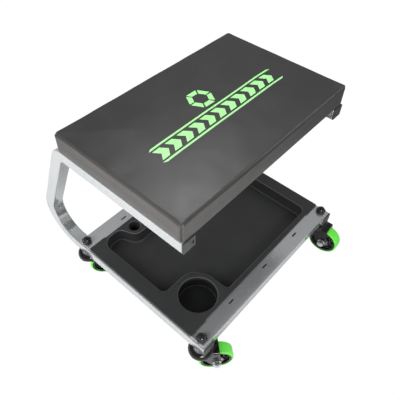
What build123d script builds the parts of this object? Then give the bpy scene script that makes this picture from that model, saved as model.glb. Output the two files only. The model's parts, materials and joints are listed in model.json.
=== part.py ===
from build123d import *
import math
import os

# Rolling mechanic's seat: a padded seat on two bent square-tube side frames,
# two pressed cross bars, a moulded tool tray with a cup holder, and four
# swivel casters on threaded stems.
# Millimetres. +X is the seat's right, +Y is the rear (the closed side of the
# C-shaped frames), +Z is up. The origin is on the floor, at the centre of the
# whole object's footprint box.

# ---------------------------------------------------------------- dimensions
TOTAL_H = 392.0          # floor to seat top
Y_SHIFT = 0.0            # seat centre to footprint centre (set below)

SEAT_W, SEAT_D, SEAT_T = 400.0, 254.0, 37.0
SEAT_CORNER_R = 7.0      # vertical corners of the pad
SEAT_TOP_R = 6.0         # rolled top edge
COVER_T = 1.4            # vinyl
HEM_W = 33.0             # vinyl turned under the board
BOARD_T = 12.0
BOARD_SET = 2.4          # board edge inside the skin, where the skin folds over it
GAP = 0.04               # clearance between touching pieces of one body

TUBE_W, TUBE_H = 24.0, 22.0      # across X, and in the plane of the bend
TUBE_WALL = 1.5
TUBE_R = 2.6
TUBE_X = SEAT_W / 2 - TUBE_W / 2
SEAT_Z0 = TOTAL_H - SEAT_T       # 355, underside of the seat
UPPER_Z = SEAT_Z0 - TUBE_H / 2   # centre line of the upper rail
LOWER_Z = 89.0                   # centre line of the lower rail
UPPER_FRONT_Y = -126.0
LOWER_FRONT_Y = -172.4
LEG_Y_AT_TOP = 135.7             # centre-line corner, upper
LEG_Y_AT_BOTTOM = 258.1          # centre-line corner, lower
UPPER_BEND_R = 25.0
LOWER_BEND_R = 60.0

PLUG_FLANGE_T = 3.0

BAR_T = 2.0
BAR_W = 33.0
BAR_L = 394.0
BAR_LIP_H = 22.0
BAR_LIP_L = 345.0
FRONT_BAR_OUT_Y = -170.2
REAR_BAR_OUT_Y = 151.8
BAR_SLOT = (13.0, 3.4)
BAR_SLOT_INSET = 20.2
BAR_SLOT_X = (-100.0, 0.0, 100.0)

STEM_X = TUBE_X
STEM_FRONT_Y = -157.6
STEM_REAR_Y = 139.2

TRAY_X = 197.0
TRAY_Y0, TRAY_Y1 = -142.0, 121.3
TRAY_EAR_X = 160.0
TRAY_EAR_SET = 2.0
TRAY_T = 2.0
TRAY_DEPTH = 28.0
CUP_C = (-130.4, -97.8)
CUP_R = 35.5
TOOL_HOLE_R = 12.0
TOOL_HOLE_Y = 99.6
TOOL_HOLE_X = (-100.0, -33.5, 33.5, 100.0)
TAB_W = 16.0              # tabs under the bar slots
TAB_Z0, TAB_Z1 = 96.9, 99.6

# casters
WHEEL_R, WHEEL_W = 31.75, 22.0
HUB_R = 28.2
TRAIL = 26.5
SWIVEL = {"front_left": 319.0, "front_right": 275.0, "rear_left": 328.0, "rear_right": 255.0}
KING_R = 6.0
RUN = 0.05               # radial running clearance
FORK_T = 2.5
FORK_GAP = 25.2
CROWN_R = 23.0
BALL_R, BALL_PITCH, BALL_N = 1.6, 11.0, 12
AXLE_R, SLEEVE_R = 4.0, 5.0
BEARING_R, BEARING_W = 11.0, 6.0

RAIL_BOTTOM = LOWER_Z - TUBE_H / 2     # 78
RAIL_TOP = LOWER_Z + TUBE_H / 2        # 100
BAR_TOP = RAIL_TOP + BAR_T             # 102
TRAY_TOP = BAR_TOP + TRAY_T            # 104

parts = {}


def rounded(points):
    """Closed face from (x, y, radius) corners, on the XY plane."""
    n = len(points)
    corner = []
    for i in range(n):
        x, y, r = points[i]
        px, py, _ = points[i - 1]
        qx, qy, _ = points[(i + 1) % n]
        a = Vector(px - x, py - y, 0)
        b = Vector(qx - x, qy - y, 0)
        la, lb = a.length, b.length
        a, b = a * (1 / la), b * (1 / lb)
        cosang = max(-1.0, min(1.0, a.dot(b)))
        ang = math.acos(cosang)
        if r <= 0 or ang > math.pi - 1e-3:
            corner.append((Vector(x, y, 0), None, Vector(x, y, 0)))
            continue
        d = r / math.tan(ang / 2)
        p = Vector(x, y, 0)
        bis = (a + b).normalized()
        mid = p + bis * (r / math.sin(ang / 2) - r)
        corner.append((p + a * d, mid, p + b * d))
    edges = []
    for i in range(n):
        t0, mid, t1 = corner[i]
        if mid is not None:
            edges.append(Edge.make_three_point_arc(t0, mid, t1))
        nxt = corner[(i + 1) % n][0]
        if (nxt - t1).length > 1e-6:
            edges.append(Edge.make_line(t1, nxt))
    return Face(Wire(edges))


def prism(face, z0, z1):
    """Straight extrusion of an XY face from z0 to z1."""
    return extrude(Pos(0, 0, z0) * face, amount=z1 - z0, dir=(0, 0, 1))


def cyl(r, z0, z1, x=0.0, y=0.0):
    return Pos(x, y, (z0 + z1) / 2) * Cylinder(r, z1 - z0)


def block(x0, x1, y0, y1, z0, z1):
    return Pos((x0 + x1) / 2, (y0 + y1) / 2, (z0 + z1) / 2) * Box(x1 - x0, y1 - y0, z1 - z0)


def hexagon(af, z0, z1, x=0.0, y=0.0):
    face = RegularPolygon(af / 2 / math.cos(math.pi / 6), 6)
    return Pos(x, y, 0) * prism(face, z0, z1)


def revolve_rz(points):
    """Solid of revolution about Z from (r, z) points."""
    wire = Wire.make_polygon([(r, 0, z) for r, z in points], close=True)
    return revolve(Face(wire), Axis.Z, 360)


def one(shape):
    solids = shape.solids()
    return solids[0] if len(solids) == 1 else Compound(list(solids))


def group(shapes):
    """Several separate solids in one node."""
    return Compound([s for shape in shapes for s in shape.solids()])


# ---------------------------------------------------------------- seat
seat_bolt_xy = [(sx * TUBE_X, y) for sx in (-1, 1) for y in (-92.0, 92.0)]


def pad(w, d, r, z0, z1, top_r, bottom_r=0.0):
    s = prism(RectangleRounded(w, d, r), z0, z1)
    if top_r:
        s = fillet(s.edges().group_by(Axis.Z)[-1], top_r)
    if bottom_r:
        s = fillet(s.edges().group_by(Axis.Z)[0], bottom_r)
    return s


cover_outer = pad(SEAT_W, SEAT_D, SEAT_CORNER_R, SEAT_Z0, TOTAL_H, SEAT_TOP_R, 1.2)
inner_w, inner_d = SEAT_W - 2 * COVER_T, SEAT_D - 2 * COVER_T
inner_r = SEAT_CORNER_R - COVER_T
cavity_z0, cavity_z1 = SEAT_Z0 + COVER_T, TOTAL_H - COVER_T
cover_inner = pad(inner_w, inner_d, inner_r, cavity_z0, cavity_z1, SEAT_TOP_R - COVER_T)
hem_open = prism(RectangleRounded(SEAT_W - 2 * HEM_W, SEAT_D - 2 * HEM_W, 6), SEAT_Z0 - 1, cavity_z0 + 1)
cover = cover_outer - cover_inner - hem_open
for bx, by in seat_bolt_xy:
    cover -= cyl(3.6, SEAT_Z0 - 1, cavity_z0 + 1, bx, by)
parts["seat_cover"] = one(cover)

board_z0 = cavity_z0 + GAP
board_z1 = board_z0 + BOARD_T
board = prism(RectangleRounded(inner_w - 2 * BOARD_SET, inner_d - 2 * BOARD_SET, 8.0), board_z0, board_z1)
for bx, by in seat_bolt_xy:
    board -= cyl(4.2, board_z0 - 1, board_z1 + 1, bx, by)
parts["seat_board"] = one(board)

foam_z0 = board_z1 + GAP
foam = pad(inner_w - 0.4, inner_d - 0.4, inner_r - 0.2, foam_z0, cavity_z1 - 0.15, SEAT_TOP_R - COVER_T)
for bx, by in seat_bolt_xy:
    foam -= cyl(10.0, foam_z0 - 1, foam_z0 + 2.0, bx, by)
parts["seat_foam"] = one(foam)

tee_nuts, seat_bolts, seat_washers = [], [], []
head_z1 = SEAT_Z0 - TUBE_H - 1.2
for bx, by in seat_bolt_xy:
    nut = cyl(4.1, board_z0 + 3, board_z1 + 1.4, bx, by) + cyl(9.5, board_z1 + 0.02, board_z1 + 1.4, bx, by)
    nut -= cyl(3.05, board_z0, board_z1 + 3, bx, by)
    tee_nuts.append(nut)
    seat_washers.append(cyl(7.0, head_z1 + 0.02, head_z1 + 1.18, bx, by) - cyl(3.2, head_z1 - 1, head_z1 + 3, bx, by))
    bolt = cyl(3.0, head_z1 - 1, board_z1 + 0.5, bx, by) + hexagon(10.0, head_z1 - 4.2, head_z1, bx, by)
    seat_bolts.append(bolt)
parts["seat_tee_nuts"] = group(tee_nuts)
parts["seat_bolts"] = group(seat_bolts)
parts["seat_washers"] = group(seat_washers)

# staples that hold the hem to the board
staples = []


def staple(x, y, along_x):
    w, t = 10.0, 0.7
    z_top = board_z0 + 6.0
    z_bot = SEAT_Z0 - 0.72
    if along_x:
        s = block(x - w / 2, x + w / 2, y - t / 2, y + t / 2, z_bot, SEAT_Z0 - 0.02)
        for e in (-1, 1):
            cx = x + e * (w / 2 - t / 2)
            s += block(cx - t / 2, cx + t / 2, y - t / 2, y + t / 2, z_bot, z_top)
    else:
        s = block(x - t / 2, x + t / 2, y - w / 2, y + w / 2, z_bot, SEAT_Z0 - 0.02)
        for e in (-1, 1):
            cy = y + e * (w / 2 - t / 2)
            s += block(x - t / 2, x + t / 2, cy - t / 2, cy + t / 2, z_bot, z_top)
    return s


for i in range(7):
    sx = -150 + 50 * i
    for sy in (-1, 1):
        staples.append(staple(sx, sy * (SEAT_D / 2 - HEM_W + 9), True))
for i in range(4):
    yy = -75 + 50 * i
    for sx in (-1, 1):
        staples.append(staple(sx * (TUBE_X - TUBE_W / 2 - 4.0), yy, False))
parts["seat_staples"] = group(staples)

# ---------------------------------------------------------------- side frames


def side_path(x):
    pts = [(UPPER_FRONT_Y, UPPER_Z), (LEG_Y_AT_TOP, UPPER_Z), (LEG_Y_AT_BOTTOM, LOWER_Z), (LOWER_FRONT_Y, LOWER_Z)]
    radii = [0, UPPER_BEND_R, LOWER_BEND_R, 0]
    edges = []
    last = Vector(x, *pts[0])
    for i in (1, 2):
        p = Vector(x, *pts[i])
        a = (Vector(x, *pts[i - 1]) - p).normalized()
        b = (Vector(x, *pts[i + 1]) - p).normalized()
        ang = math.acos(a.dot(b))
        r = radii[i]
        d = r / math.tan(ang / 2)
        bis = (a + b).normalized()
        mid = p + bis * (r / math.sin(ang / 2) - r)
        edges.append(Edge.make_line(last, p + a * d))
        edges.append(Edge.make_three_point_arc(p + a * d, mid, p + b * d))
        last = p + b * d
    edges.append(Edge.make_line(last, Vector(x, *pts[3])))
    return Wire(edges)


def swept(x, w, h, r):
    plane = Plane(origin=(x, UPPER_FRONT_Y, UPPER_Z), x_dir=(1, 0, 0), z_dir=(0, 1, 0))
    return sweep(plane * RectangleRounded(w, h, r), path=side_path(x))


for name, sx in (("left_side_frame", -1), ("right_side_frame", 1)):
    x = sx * TUBE_X
    tube = swept(x, TUBE_W, TUBE_H, TUBE_R) - swept(x, TUBE_W - 2 * TUBE_WALL, TUBE_H - 2 * TUBE_WALL, TUBE_R - 1.4)
    for by in (-92.0, 92.0):
        tube -= cyl(3.3, SEAT_Z0 - TUBE_H - 1, SEAT_Z0 + 1, x, by)
    for by in (STEM_FRONT_Y, STEM_REAR_Y):
        tube -= cyl(5.3, RAIL_BOTTOM - 1, RAIL_TOP + 1, x, by)
    parts[name] = one(tube)

# plastic plugs in the four open tube ends
for name, sx, y_end, z_c, upper in (
    ("left_upper_plug", -1, UPPER_FRONT_Y, UPPER_Z, True),
    ("right_upper_plug", 1, UPPER_FRONT_Y, UPPER_Z, True),
    ("left_lower_plug", -1, LOWER_FRONT_Y, LOWER_Z, False),
    ("right_lower_plug", 1, LOWER_FRONT_Y, LOWER_Z, False),
):
    x = sx * TUBE_X
    face_plane = Plane(origin=(x, y_end - GAP, z_c), x_dir=(1, 0, 0), z_dir=(0, -1, 0))
    flange = extrude(face_plane * RectangleRounded(TUBE_W, TUBE_H, TUBE_R), amount=PLUG_FLANGE_T)
    flange = fillet(flange.edges().group_by(Axis.Y)[0], 1.0)
    pw, ph = TUBE_W - 2 * TUBE_WALL - 0.1, TUBE_H - 2 * TUBE_WALL - 0.1
    back_plane = Plane(origin=(x, y_end - GAP - 0.5, z_c), x_dir=(1, 0, 0), z_dir=(0, 1, 0))
    shank_l = 12.0 if not upper else 16.0
    if not upper:
        shank_l = 8.0
    shank = extrude(back_plane * RectangleRounded(pw, ph, 1.1), amount=shank_l)
    shank -= extrude(Plane(origin=(x, y_end + 0.6, z_c), x_dir=(1, 0, 0), z_dir=(0, 1, 0)) * Rectangle(pw - 4, ph - 4), amount=30)
    plug = flange + shank
    if upper:
        # pry slot near the inner edge of the face
        sxx = x - sx * (TUBE_W / 2 - 5.0)
        plug -= block(sxx - 1.3, sxx + 1.3, y_end - 6, y_end - PLUG_FLANGE_T + 1.6, z_c - 4.0, z_c + 4.0)
    parts[name] = one(plug)

# ---------------------------------------------------------------- cross bars


def cross_bar(y_out, inward):
    """Pressed angle: flat flange on the rails, lip hanging between them."""
    y_in = y_out + inward * BAR_W
    y_mid = (y_out + y_in) / 2
    top = Pos(0, y_mid, 0) * prism(RectangleRounded(BAR_L, BAR_W, 3.0), RAIL_TOP, BAR_TOP)
    lo, hi = sorted((y_out, y_out + inward * BAR_T))
    lip = block(-BAR_LIP_L / 2, BAR_LIP_L / 2, lo, hi, BAR_TOP - BAR_LIP_H, BAR_TOP - 0.5)
    root_lo, root_hi = sorted((y_out, y_out + inward * (BAR_T + 2.5)))
    root = block(-BAR_LIP_L / 2, BAR_LIP_L / 2, root_lo, root_hi, RAIL_TOP - 2.5, BAR_TOP - 0.5)
    core = Pos(0, y_out + inward * (BAR_T + 2.5), RAIL_TOP - 2.5) * Rot(0, 90, 0) * Cylinder(2.5, BAR_LIP_L + 2)
    bar = top + lip + (root - core)
    outer_edge = [
        e for e in bar.edges().filter_by(Axis.X)
        if abs(e.center().Y - y_out) < 0.05 and abs(e.center().Z - BAR_TOP) < 0.05 and e.length > 300
    ]
    bar = fillet(outer_edge, 1.9)
    lower_corners = [
        e for e in bar.edges().filter_by(Axis.Y)
        if abs(e.center().Z - (BAR_TOP - BAR_LIP_H)) < 0.05 and e.length < 3
    ]
    bar = fillet(lower_corners, 3.0)
    for x in (-STEM_X, STEM_X):
        bar -= cyl(5.3, RAIL_TOP - 1, BAR_TOP + 1, x, STEM_FRONT_Y if inward > 0 else STEM_REAR_Y)
    for x in BAR_SLOT_X:
        bar -= Pos(x, y_out + inward * BAR_SLOT_INSET, 0) * prism(RectangleRounded(BAR_SLOT[0], BAR_SLOT[1], 0.8), RAIL_TOP - 1, BAR_TOP + 1)
    return bar


parts["front_crossbar"] = one(cross_bar(FRONT_BAR_OUT_Y, 1))
parts["rear_crossbar"] = one(cross_bar(REAR_BAR_OUT_Y, -1))

# ---------------------------------------------------------------- tool tray
recess_pts = [
    (-169.5, 114.7, 22.0), (-127.0, 114.7, 13.0), (-113.0, 78.5, 20.0),
    (113.0, 78.5, 20.0), (127.0, 114.7, 13.0), (169.5, 114.7, 22.0),
    (169.5, -130.0, 14.0), (-85.5, -130.0, 9.0), (-85.5, -85.0, 26.0),
    (-104.0, -51.5, 30.0), (-169.5, -51.5, 12.0),
]


def grow(points, d):
    """Offsets a rounded outline outwards by d (counter-clockwise or not)."""
    face = rounded(points)
    return Face(face.outer_wire().offset_2d(d)) if d else face


recess_face = rounded(recess_pts)
outer_face = rounded(recess_pts).outer_wire().offset_2d(TRAY_T, kind=Kind.ARC)
outer_face = Face(outer_face) if not isinstance(outer_face, Face) else outer_face

flange_pts = [
    (-TRAY_X, TRAY_Y0, 3.0), (-TRAY_EAR_X, TRAY_Y0, 1.0), (-TRAY_EAR_X + 2, TRAY_Y0 + TRAY_EAR_SET, 1.0),
    (TRAY_EAR_X - 2, TRAY_Y0 + TRAY_EAR_SET, 1.0), (TRAY_EAR_X, TRAY_Y0, 1.0), (TRAY_X, TRAY_Y0, 3.0),
    (TRAY_X, TRAY_Y1, 3.0), (TRAY_EAR_X, TRAY_Y1, 1.0), (TRAY_EAR_X - 2, TRAY_Y1 - TRAY_EAR_SET, 1.0),
    (-TRAY_EAR_X + 2, TRAY_Y1 - TRAY_EAR_SET, 1.0), (-TRAY_EAR_X, TRAY_Y1, 1.0), (-TRAY_X, TRAY_Y1, 3.0),
]
z_fl = BAR_TOP + GAP
tray = prism(rounded(flange_pts), z_fl, TRAY_TOP)
# rolled side lips that rest on the rails, between the cross bars
lip_y0 = FRONT_BAR_OUT_Y + BAR_W + 1.0
lip_y1 = REAR_BAR_OUT_Y - BAR_W - 1.0
for sx in (-1, 1):
    lo, hi = sorted((sx * TRAY_X, sx * (TRAY_X - TRAY_T)))
    tray += block(lo, hi, lip_y0, lip_y1, RAIL_TOP + GAP, z_fl + 0.5)
well = prism(outer_face, TRAY_TOP - TRAY_DEPTH - TRAY_T, TRAY_TOP - 0.5)
well = fillet(well.edges().group_by(Axis.Z)[0], 3.5)
hollow = prism(recess_face, TRAY_TOP - TRAY_DEPTH, TRAY_TOP + 1)
hollow = fillet(hollow.edges().group_by(Axis.Z)[0], 3.0)
cup_out = cyl(CUP_R + TRAY_T, TRAY_TOP - TRAY_DEPTH - TRAY_T, TRAY_TOP - 0.5, *CUP_C)
cup_in = cyl(CUP_R, TRAY_TOP - TRAY_DEPTH, TRAY_TOP + 1, *CUP_C)
tray = tray + well + cup_out
# locating tabs moulded on the well, lying just under the slots of the bars
for x in BAR_SLOT_X:
    front_slot, rear_slot = FRONT_BAR_OUT_Y + BAR_SLOT_INSET, REAR_BAR_OUT_Y - BAR_SLOT_INSET
    tray += block(x - TAB_W / 2, x + TAB_W / 2, front_slot - 3.5, -112.0, TAB_Z0, TAB_Z1)
    tray += block(x - TAB_W / 2, x + TAB_W / 2, 108.0, rear_slot + 3.5, TAB_Z0, TAB_Z1)
tray += block(-1.5, 1.5, 79.0, 118.0, TAB_Z0, z_fl + 0.5)
for x in TOOL_HOLE_X:
    tray += cyl(TOOL_HOLE_R + 1.8, TRAY_TOP - TRAY_DEPTH - TRAY_T, TRAY_TOP - 0.5, x, TOOL_HOLE_Y)
tray = tray - hollow - cup_in
for x in TOOL_HOLE_X:
    tray -= cyl(TOOL_HOLE_R, TRAY_TOP - TRAY_DEPTH, TRAY_TOP + 1, x, TOOL_HOLE_Y)
top_edges = [e for e in tray.edges() if abs(e.center().Z - TRAY_TOP) < 1e-3 and e.bounding_box().size.Z < 1e-3]
rim = [
    e for e in top_edges
    if abs(e.center().X) < 172 and -133 < e.center().Y < 116 and not (
        e.geom_type == GeomType.CIRCLE and (abs(e.radius - CUP_R) < 0.01 or abs(e.radius - TOOL_HOLE_R) < 0.01)
    )
]
try:
    tray = fillet(rim, 1.7)
except Exception as err:
    print("recess rim left sharp:", err)
round_rims = [
    e for e in tray.edges()
    if e.geom_type == GeomType.CIRCLE and abs(e.center().Z - TRAY_TOP) < 1e-3
    and (abs(e.radius - CUP_R) < 0.01 or abs(e.radius - TOOL_HOLE_R) < 0.01)
]
try:
    tray = fillet(round_rims, 1.2)
except Exception as err:
    print("round rims left sharp:", err)
parts["tool_tray"] = one(tray)

# ---------------------------------------------------------------- casters
# Local frame: swivel axis at the origin, trail along +X, axle along Y.
COLLAR_Z0, COLLAR_R = RAIL_BOTTOM - 1.8, 13.0
RACE_Z0, RACE_Z1, RACE_R = RAIL_BOTTOM - 4.0, RAIL_BOTTOM - 1.8 - 0.02, 14.4
BALL_Z = RACE_Z0 - 1.0
FLOOR_Z1 = BALL_Z - 1.0
FLOOR_Z0 = FLOOR_Z1 - 2.8
CROWN_TOP = RAIL_BOTTOM - 0.8
PLATE_Z1 = FLOOR_Z0 + 0.4
PLATE_Z0 = 66.4


def groove(z):
    return Pos(0, 0, z) * Torus(BALL_PITCH, BALL_R + 0.05)


def stem():
    s = cyl(KING_R, 62.4, COLLAR_Z0 + 0.5) + cyl(COLLAR_R, COLLAR_Z0, RAIL_BOTTOM - 0.02)
    s += cyl(5.0, RAIL_BOTTOM - 0.5, BAR_TOP + 9.0)
    s = chamfer(s.edges().group_by(Axis.Z)[-1], 1.0)
    return s


def race():
    return cyl(RACE_R, RACE_Z0, RACE_Z1) - cyl(KING_R + 0.02, RACE_Z0 - 1, RACE_Z1 + 1) - groove(BALL_Z)


def king_nut():
    n = cyl(10.0, FLOOR_Z0 - 1.5, FLOOR_Z0 - 0.06) + hexagon(15.0, 62.6, FLOOR_Z0 - 1.4)
    return n - cyl(KING_R + 0.02, 60, FLOOR_Z0 + 1)


def balls():
    out = []
    for i in range(BALL_N):
        a = 2 * math.pi * i / BALL_N
        out.append(Pos(BALL_PITCH * math.cos(a), BALL_PITCH * math.sin(a), BALL_Z) * Sphere(BALL_R))
    return out


def fork():
    half = FORK_GAP / 2 + FORK_T
    fx0, fx1 = -19.0, 38.0
    outer = block(fx0, fx1, -half, half, 10, PLATE_Z1)
    outer = fillet([e for e in outer.edges().filter_by(Axis.X) if e.center().Z > PLATE_Z1 - 1], 4.0)
    inner = block(fx0 - 1, fx1 + 1, -FORK_GAP / 2, FORK_GAP / 2, 5, PLATE_Z0)
    inner = fillet([e for e in inner.edges().filter_by(Axis.X) if e.center().Z > PLATE_Z0 - 1], 1.5)
    side = rounded([
        (-17.0, PLATE_Z1 + 3, 0), (30.4, PLATE_Z1 + 3, 0), (31.4, 60.0, 8.0), (36.4, 32.0, 9.0),
        (31.0, 22.4, 8.0), (20.0, 22.4, 8.0), (12.5, 33.0, 12.0), (3.0, 52.0, 16.0), (-17.0, 62.5, 4.0),
    ])
    side_solid = extrude(Plane(origin=(0, 0, 0), x_dir=(1, 0, 0), z_dir=(0, -1, 0)) * side, amount=40, both=True)
    u = (outer - inner) & side_solid
    # domed crown round the ball race
    crown_face = Face(Wire([
        Edge.make_line((KING_R + RUN, 0, FLOOR_Z0), (CROWN_R - 2.6, 0, FLOOR_Z0)),
        Edge.make_line((CROWN_R - 2.6, 0, FLOOR_Z0), (CROWN_R - 2.6, 0, PLATE_Z0)),
        Edge.make_line((CROWN_R - 2.6, 0, PLATE_Z0), (CROWN_R, 0, PLATE_Z0)),
        Edge.make_line((CROWN_R, 0, PLATE_Z0), (CROWN_R, 0, PLATE_Z0 + 2.2)),
        Edge.make_three_point_arc((CROWN_R, 0, PLATE_Z0 + 2.2), (CROWN_R - 2.0, 0, PLATE_Z0 + 7.3), (CROWN_R - 6.4, 0, CROWN_TOP)),
        Edge.make_line((CROWN_R - 6.4, 0, CROWN_TOP), (RACE_R + 0.8, 0, CROWN_TOP)),
        Edge.make_line((RACE_R + 0.8, 0, CROWN_TOP), (RACE_R + 0.8, 0, FLOOR_Z1)),
        Edge.make_line((RACE_R + 0.8, 0, FLOOR_Z1), (KING_R + RUN, 0, FLOOR_Z1)),
        Edge.make_line((KING_R + RUN, 0, FLOOR_Z1), (KING_R + RUN, 0, FLOOR_Z0)),
    ]))
    crown = revolve(crown_face, Axis.Z, 360)
    f = u - cyl(CROWN_R - 1.0, 50, 100) 
    f = f + crown
    # legs continue up inside the crown's skirt
    skirt = (u & cyl(CROWN_R - 0.5, 50, FLOOR_Z0 + 0.2))
    f = f + skirt
    f -= cyl(11.2, 50, FLOOR_Z0)
    f -= block(-CROWN_R, 40, -FORK_GAP / 2, FORK_GAP / 2, 20, PLATE_Z0 - 0.001)
    f -= cyl(KING_R + RUN, 50, 100)
    f -= groove(BALL_Z)
    f -= Pos(TRAIL, 0, WHEEL_R) * Rot(90, 0, 0) * Cylinder(AXLE_R + 0.03, 60)
    return f


def on_axle(shape):
    """Turns a shape modelled along Z onto the axle line (Z becomes -Y)."""
    return Pos(TRAIL, 0, WHEEL_R) * Rot(90, 0, 0) * shape


HALF_OUT = FORK_GAP / 2 + FORK_T


def axle_bolt():
    # after on_axle, +Z here points to -Y (the nut side)
    b = cyl(AXLE_R, -HALF_OUT - 0.5, HALF_OUT + 8.6) + hexagon(13.0, -HALF_OUT - 4.6, -HALF_OUT - 0.02)
    b = chamfer(b.edges().group_by(Axis.Z)[-1], 0.8)
    return on_axle(b)


def axle_nut():
    n = cyl(8.0, HALF_OUT + 0.02, HALF_OUT + 1.2) + hexagon(13.0, HALF_OUT + 1.1, HALF_OUT + 6.4)
    n += cyl(5.9, HALF_OUT + 6.3, HALF_OUT + 7.8)
    return on_axle(n - cyl(AXLE_R + 0.03, 0, 40))


def axle_sleeve():
    s = cyl(SLEEVE_R, -FORK_GAP / 2 + 0.02, FORK_GAP / 2 - 0.02) - cyl(AXLE_R + 0.03, -20, 20)
    return on_axle(s)


def bearing(z0, z1, face_up):
    b = cyl(BEARING_R, z0, z1) - cyl(SLEEVE_R + RUN, z0 - 1, z1 + 1)
    ring = cyl(9.2, 0, 0.35) - cyl(6.8, -1, 1)
    b -= Pos(0, 0, z1 - 0.35) * ring if face_up else Pos(0, 0, z0) * ring
    return b


def bearings():
    h = WHEEL_W / 2
    return [on_axle(bearing(h - BEARING_W, h, True)), on_axle(bearing(-h, -h + BEARING_W, False))]


def hub():
    h = WHEEL_W / 2 - 0.8
    hb = WHEEL_W / 2
    body = cyl(HUB_R, -h, h) - cyl(24.6, -h - 1, -4.2) - cyl(24.6, 4.2, h + 1)
    body += cyl(13.6, -hb, hb)
    body = body - cyl(BEARING_R + 0.02, hb - BEARING_W - 0.03, hb + 1) - cyl(BEARING_R + 0.02, -hb - 1, -hb + BEARING_W + 0.03) - cyl(8.5, -20, 20)
    for i in range(10):
        a = 2 * math.pi * i / 10
        body -= cyl(3.9, -20, 20, 19.1 * math.cos(a), 19.1 * math.sin(a))
    return on_axle(body)


def tread():
    w = WHEEL_W / 2
    t = cyl(WHEEL_R, -w, w)
    t = fillet(t.edges().filter_by(GeomType.CIRCLE), 3.0)
    t -= cyl(HUB_R + 0.02, -w - 1, w + 1)
    return on_axle(t)


def acorn():
    n = hexagon(17.0, BAR_TOP + 0.02, BAR_TOP + 6.0) & cyl(9.6, BAR_TOP, BAR_TOP + 6.0)
    dome = Pos(0, 0, BAR_TOP + 5.2) * Sphere(7.7)
    dome = dome & cyl(9, BAR_TOP + 5.2, BAR_TOP + 20)
    n = n + dome
    n -= cyl(5.02, BAR_TOP - 1, BAR_TOP + 9.3)
    return n


stem_s, race_s, fork_s = stem(), race(), fork()
hub_s, tread_s = hub(), tread()
king_nuts, acorns = [], []
POS = {
    "front_left": (-STEM_X, STEM_FRONT_Y), "front_right": (STEM_X, STEM_FRONT_Y),
    "rear_left": (-STEM_X, STEM_REAR_Y), "rear_right": (STEM_X, STEM_REAR_Y),
}
for name, (cx, cy) in POS.items():
    at = Pos(cx, cy, 0) * Rot(0, 0, SWIVEL[name])
    parts[f"{name}_stem"] = one(at * stem_s)
    parts[f"{name}_ball_race"] = one(at * race_s)
    parts[f"{name}_balls"] = group([at * b for b in balls()])
    parts[f"{name}_fork"] = one(at * fork_s)
    parts[f"{name}_axle_bolt"] = one(at * axle_bolt())
    parts[f"{name}_axle_nut"] = one(at * axle_nut())
    parts[f"{name}_axle_sleeve"] = one(at * axle_sleeve())
    parts[f"{name}_wheel_hub"] = one(at * hub_s)
    parts[f"{name}_tread"] = one(at * tread_s)
    parts[f"{name}_bearings"] = group([at * b for b in bearings()])
    king_nuts.append(one(at * king_nut()))
    acorns.append(one(Pos(cx, cy, 0) * acorn()))
parts["kingpin_nuts"] = group(king_nuts)
parts["acorn_nuts"] = group(acorns)

# ---------------------------------------------------------------- write
boxes = [p.bounding_box() for p in parts.values()]
y_lo, y_hi = min(b.min.Y for b in boxes), max(b.max.Y for b in boxes)
x_lo, x_hi = min(b.min.X for b in boxes), max(b.max.X for b in boxes)
Y_SHIFT = -(y_lo + y_hi) / 2
print("pieces", len(parts), "x", round(x_lo, 3), round(x_hi, 3), "y", round(y_lo, 3), round(y_hi, 3), "shift", round(Y_SHIFT, 3))

os.makedirs("parts", exist_ok=True)
for name, shape in parts.items():
    moved = Pos(0, Y_SHIFT, 0) * shape
    export_step(moved, f"parts/{name}.step")
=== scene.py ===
import bpy
import bmesh
import json
import math
import numpy as np
from mathutils import Matrix, Vector, noise

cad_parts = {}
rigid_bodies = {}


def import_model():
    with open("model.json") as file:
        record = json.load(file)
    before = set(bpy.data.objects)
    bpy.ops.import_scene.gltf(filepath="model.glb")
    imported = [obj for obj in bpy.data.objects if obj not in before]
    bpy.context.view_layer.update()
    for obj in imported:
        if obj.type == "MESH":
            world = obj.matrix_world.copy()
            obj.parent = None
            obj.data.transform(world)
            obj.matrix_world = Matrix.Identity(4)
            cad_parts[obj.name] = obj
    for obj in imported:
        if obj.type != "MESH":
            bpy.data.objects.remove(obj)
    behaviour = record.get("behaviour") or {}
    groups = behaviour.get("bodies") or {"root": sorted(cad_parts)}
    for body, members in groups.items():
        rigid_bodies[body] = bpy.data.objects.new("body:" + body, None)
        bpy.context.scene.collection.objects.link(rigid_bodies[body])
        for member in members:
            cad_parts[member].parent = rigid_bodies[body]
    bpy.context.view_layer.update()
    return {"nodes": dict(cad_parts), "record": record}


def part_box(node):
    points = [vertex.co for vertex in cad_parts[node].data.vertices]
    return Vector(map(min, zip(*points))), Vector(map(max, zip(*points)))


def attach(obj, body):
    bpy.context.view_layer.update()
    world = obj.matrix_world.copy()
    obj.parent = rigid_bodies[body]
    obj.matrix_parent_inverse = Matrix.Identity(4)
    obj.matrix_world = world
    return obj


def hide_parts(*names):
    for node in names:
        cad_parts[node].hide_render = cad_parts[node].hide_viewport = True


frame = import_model()
NODES = frame["nodes"]
scene = bpy.context.scene


# ------------------------------------------------------------------ helpers
def link(o):
    scene.collection.objects.link(o)
    return o


def activate(o):
    bpy.context.view_layer.update()
    for x in bpy.context.view_layer.objects:
        x.select_set(False)
    o.select_set(True)
    bpy.context.view_layer.objects.active = o


def mesh_object(name, verts, faces, smooth=True):
    me = bpy.data.meshes.new(name)
    me.from_pydata([tuple(v) for v in verts], [], [tuple(f) for f in faces])
    me.validate()
    me.update()
    if smooth:
        me.polygons.foreach_set("use_smooth", [True] * len(me.polygons))
    return link(bpy.data.objects.new(name, me))


_smooth = {}


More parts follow.
